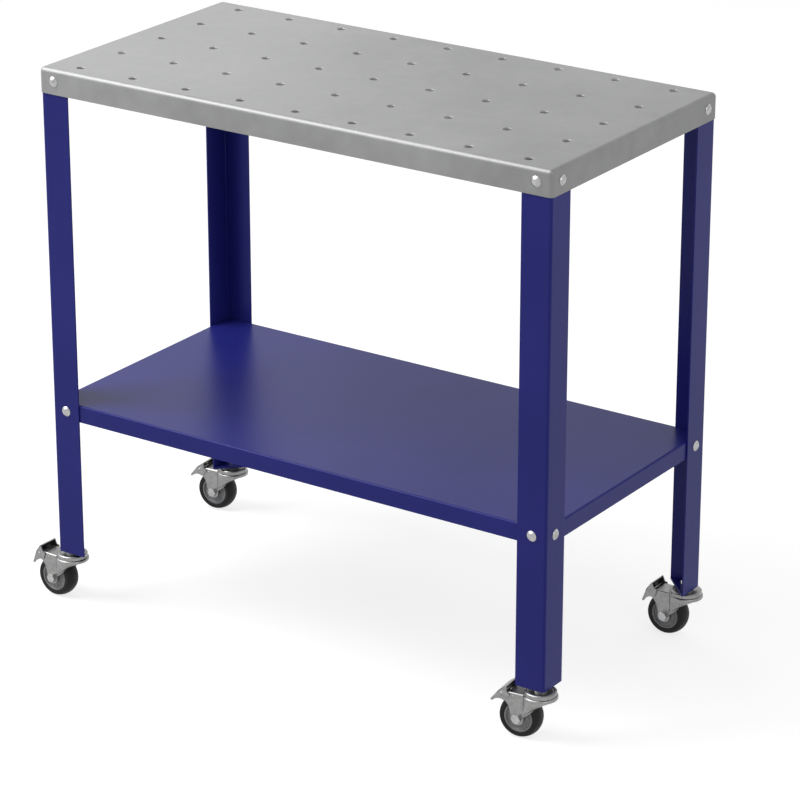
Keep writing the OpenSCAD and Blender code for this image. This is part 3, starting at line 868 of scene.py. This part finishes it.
# %% Pedal web
def moved_in(start, end, sheet):
    """The line from start to end, moved square to itself by the sheet, towards the pedal."""
    along = (Vector(end) - Vector(start)).normalized()
    inwards = Vector((along.y, -along.x)) * sheet
    return Vector(start) + inwards, Vector(end) + inwards


def inner_knee(tip, knee, lip, sheet):
    """Where the inner faces of the two straight stretches of the web meet."""
    low, low_end = moved_in(tip, knee, sheet)
    high, high_end = moved_in(knee, lip, sheet)
    first, second = low_end - low, high_end - high
    across = first.x * second.y - first.y * second.x
    share = ((high.x - low.x) * second.y - (high.y - low.y) * second.x) / across
    return low + share * first


def web_strip():
    """The folded back of the sheet, from the beak's tip over the knee to the lip."""
    tip, lip = BEAK_TIP[0], LIP_EDGE[1]
    start = Vector(tip) + (Vector(KNEE) - Vector(tip)).normalized() * PEDAL_SHEET
    inside = (moved_in(start, KNEE, PEDAL_SHEET)[0],
              inner_knee(tip, KNEE, lip, PEDAL_SHEET),
              moved_in(KNEE, lip, PEDAL_SHEET)[1])
    outline = (tuple(start), *(tuple(point) for point in inside), lip, KNEE)
    return plate(outline, -PEDAL_HALF, 2 * PEDAL_HALF, {})


print("the inner knee lies at", tuple(inner_knee(BEAK_TIP[0], KNEE, LIP_EDGE[1], PEDAL_SHEET)))

# %% Pedal sheet
FOLD_ROUND = 0.6 * MM
HINGE_HOLE_RADIUS = 2.56
ORIGIN = Vector((0, 0, 0))


def pedal_sheet():
    outline = (*BEAK_TIP, *UNDERSIDE, *FRONT_AND_TOP, *LIP_EDGE, KNEE)
    sheet = web_strip()
    for side in (-PEDAL_HALF, PEDAL_HALF - PEDAL_SHEET):
        cheek = plate(outline, side, PEDAL_SHEET, ROUNDED)
        apply_modifier(sheet, "BOOLEAN", operation="UNION", object=cheek, solver="EXACT")
        bpy.data.objects.remove(cheek)
    round_edges(sheet, FOLD_ROUND, steps=3, sharper_than=50)
    cut_away(sheet, [plug(ORIGIN, ACROSS, HINGE_HOLE_RADIUS * MM, 4 * PEDAL_HALF * MM,
                          HINGE_HOLE_SIDES)])
    return sheet


sheet = pedal_sheet()
print("pedal sheet:", len(sheet.data.polygons), "faces")

# %% [markdown]
# The brake tongue is a thick block between the cheeks. When the pedal is pressed, the tongue
# lies along the tread, so a cylinder a little larger than the wheel is cut out of it, about
# the axle's place as seen from the hinge.

# %% Brake tongue
TONGUE_WIDTH = 20.0
TONGUE = ((-8.5, -2.6), (-7.3, 0.4), (8.2, -7.0), (7.2, -9.9))
WHEEL_FROM_HINGE = (24.5, -35.9)
TREAD_CLEAR = 33.9


def brake_tongue():
    tongue = plate(TONGUE, -TONGUE_WIDTH / 2, TONGUE_WIDTH, {})
    wheel = plug(side_point(WHEEL_FROM_HINGE, 0), ACROSS, TREAD_CLEAR * MM,
                 2 * TONGUE_WIDTH * MM, WHEEL_CUT_SIDES)
    cut_away(tongue, [wheel])
    return tongue


tongue = brake_tongue()
print("the tongue clears the tread by", round(TREAD_CLEAR - TREAD_MIDDLE, 2), "mm")

# %% [markdown]
# Two castors stand with the brake pressed and two with it released. A joint that can turn
# back from where it stands belongs to a released pedal, so that pedal is turned up by the
# brake's whole travel.

# %% Pedals in place
BRAKE_TRAVEL = math.radians(18)
EDGE_BREAK = 0.25 * MM

pedal = join_pieces([sheet, tongue])
round_edges(pedal, EDGE_BREAK, steps=2, sharper_than=50)
for corner in CORNERS:
    rock = f"{corner}_brake_rock"
    place = joint_place(rock)
    if JOINTS[rock]["range_deg"][0] < 0:
        place = place @ Matrix.Rotation(BRAKE_TRAVEL, 4, "Y")
    put_in_place(pedal, place, f"{corner}_castor_stamped_pedal", f"{corner}_castor_brake_pedal")
bpy.data.objects.remove(pedal)

# %% [markdown]
# ## Studio
#
# A pale floor runs past the picture on all sides. It glows a little for the camera and in
# reflections, so that it reads as white and still keeps the table's shadow.

# %% Floor
WHITE = (1.0, 1.0, 1.0, 1.0)
FLOOR_SIZE = 40.0
FLOOR_GREY = (0.42, 0.42, 0.42, 1.0)
FLOOR_GLOW = 0.76


def seen_rays(owner):
    """1 for what the camera and reflections see, and 0 for the light that falls on things."""
    rays = owner.node_tree.nodes.new("ShaderNodeLightPath").outputs
    return calculate(owner, "MAXIMUM", rays["Is Camera Ray"], rays["Is Glossy Ray"])


def make_floor():
    deselect_all()
    bpy.ops.mesh.primitive_plane_add(size=FLOOR_SIZE)
    floor = bpy.context.object
    floor.name = "studio_floor"
    paper = new_material("studio_floor", roughness=0.9, specular=0.0)
    shader_of(paper).inputs["Base Color"].default_value = FLOOR_GREY
    shader_of(paper).inputs["Emission Color"].default_value = WHITE
    glow = calculate(paper, "MULTIPLY", seen_rays(paper), FLOOR_GLOW)
    connect(paper, glow, "Emission Strength")
    floor.data.materials.append(paper)
    return floor


floor = make_floor()
print(floor.name, "is", FLOOR_SIZE, "m wide")

# %% [markdown]
# The world is white at the horizon and greyer overhead, with a bright patch high at the front
# left that draws the long highlights on the folds. It is dimmer for diffuse light, so the
# three soft lamps shape the object.

# %% World
SKY_FROM, SKY_TO = 0.45, 0.95
HORIZON_LIGHT, OVERHEAD_LIGHT = 1.0, 0.45
BRIGHT_PATCH = Vector((-0.534, -0.366, 0.762))
PATCH_EDGE, PATCH_MIDDLE = 0.66, 0.95
PATCH_STRENGTH = 2.4
DIFFUSE_LIGHT = 0.45


def sky_brightness(world):
    """How bright the world is in each direction, before it is dimmed for diffuse light."""
    nodes, links = world.node_tree.nodes, world.node_tree.links
    place = nodes.new("ShaderNodeTexCoord")
    split = nodes.new("ShaderNodeSeparateXYZ")
    links.new(place.outputs["Generated"], split.inputs["Vector"])
    sky = remap(world, split.outputs["Z"], SKY_FROM, SKY_TO, HORIZON_LIGHT, OVERHEAD_LIGHT)
    towards = nodes.new("ShaderNodeVectorMath")
    towards.operation = "DOT_PRODUCT"
    towards.inputs[1].default_value = BRIGHT_PATCH.normalized()
    links.new(place.outputs["Generated"], towards.inputs[0])
    patch = remap(world, towards.outputs["Value"], PATCH_EDGE, PATCH_MIDDLE, 0.0,
                  PATCH_STRENGTH, smooth=True)
    return calculate(world, "ADD", sky, patch)


def make_world():
    world = bpy.data.worlds.new("studio")
    bpy.context.scene.world = world
    world.use_nodes = True
    nodes, links = world.node_tree.nodes, world.node_tree.links
    background = nodes["Background"]
    background.inputs["Color"].default_value = WHITE
    through = nodes.new("ShaderNodeLightPath").outputs["Is Transmission Ray"]
    strength = nodes.new("ShaderNodeMix")
    strength.data_type = "FLOAT"
    strength.inputs[FLOAT_A].default_value = DIFFUSE_LIGHT
    links.new(calculate(world, "MAXIMUM", seen_rays(world), through), strength.inputs["Factor"])
    links.new(sky_brightness(world), strength.inputs[FLOAT_B])
    links.new(strength.outputs[FLOAT_RESULT], background.inputs["Strength"])
    return world


print("world:", make_world().name)

# %% [markdown]
# Three soft boxes stand round the table: a strong key lamp high at the front left, a weaker
# one lower at the right that lifts the short side, and a small, weak one behind at the left
# for the rear edges.

# %% Lamps
TABLE_MIDDLE = Vector((0.0, 0.0, 0.5))
SOFTBOXES = (
    ("key_softbox", (-2.2, -1.6, 3.2), 2.2, 90.0),
    ("side_softbox", (3.4, -1.2, 1.9), 2.0, 18.0),
    ("back_softbox", (-1.5, 1.4, 1.6), 0.8, 1.6),
)


def add_softbox(name, place, size, watts):
    lamp = bpy.data.lights.new(name, "AREA")
    lamp.size = size
    lamp.energy = watts
    box = bpy.data.objects.new(name, lamp)
    box.location = place
    box.rotation_euler = (TABLE_MIDDLE - Vector(place)).to_track_quat("-Z", "Y").to_euler()
    bpy.context.scene.collection.objects.link(box)
    return box


print("lamps:", [add_softbox(*softbox).name for softbox in SOFTBOXES])

# %% [markdown]
# ## Camera
#
# A long lens from the front right, high enough to look down on the worktop. Its place and
# lens were worked out from the corners of the worktop and the feet of the legs. The view
# transform is Standard, which shows colours about as they are written.

# %% Camera
CAMERA_PLACE = Vector((2.8777, -4.1615, 2.3717))
CAMERA_FORWARD = Vector((-0.5230, 0.7688, -0.3680))
CAMERA_LENS, SENSOR_WIDTH = 158.2, 36.0


def make_camera():
    data = bpy.data.cameras.new("camera")
    data.sensor_width = SENSOR_WIDTH
    data.lens = CAMERA_LENS
    camera = bpy.data.objects.new("camera", data)
    camera.location = CAMERA_PLACE
    camera.rotation_euler = CAMERA_FORWARD.to_track_quat("-Z", "Y").to_euler()
    bpy.context.scene.collection.objects.link(camera)
    bpy.context.scene.camera = camera
    return camera


make_camera()
bpy.context.scene.view_settings.view_transform = "Standard"
print("camera at", tuple(CAMERA_PLACE))
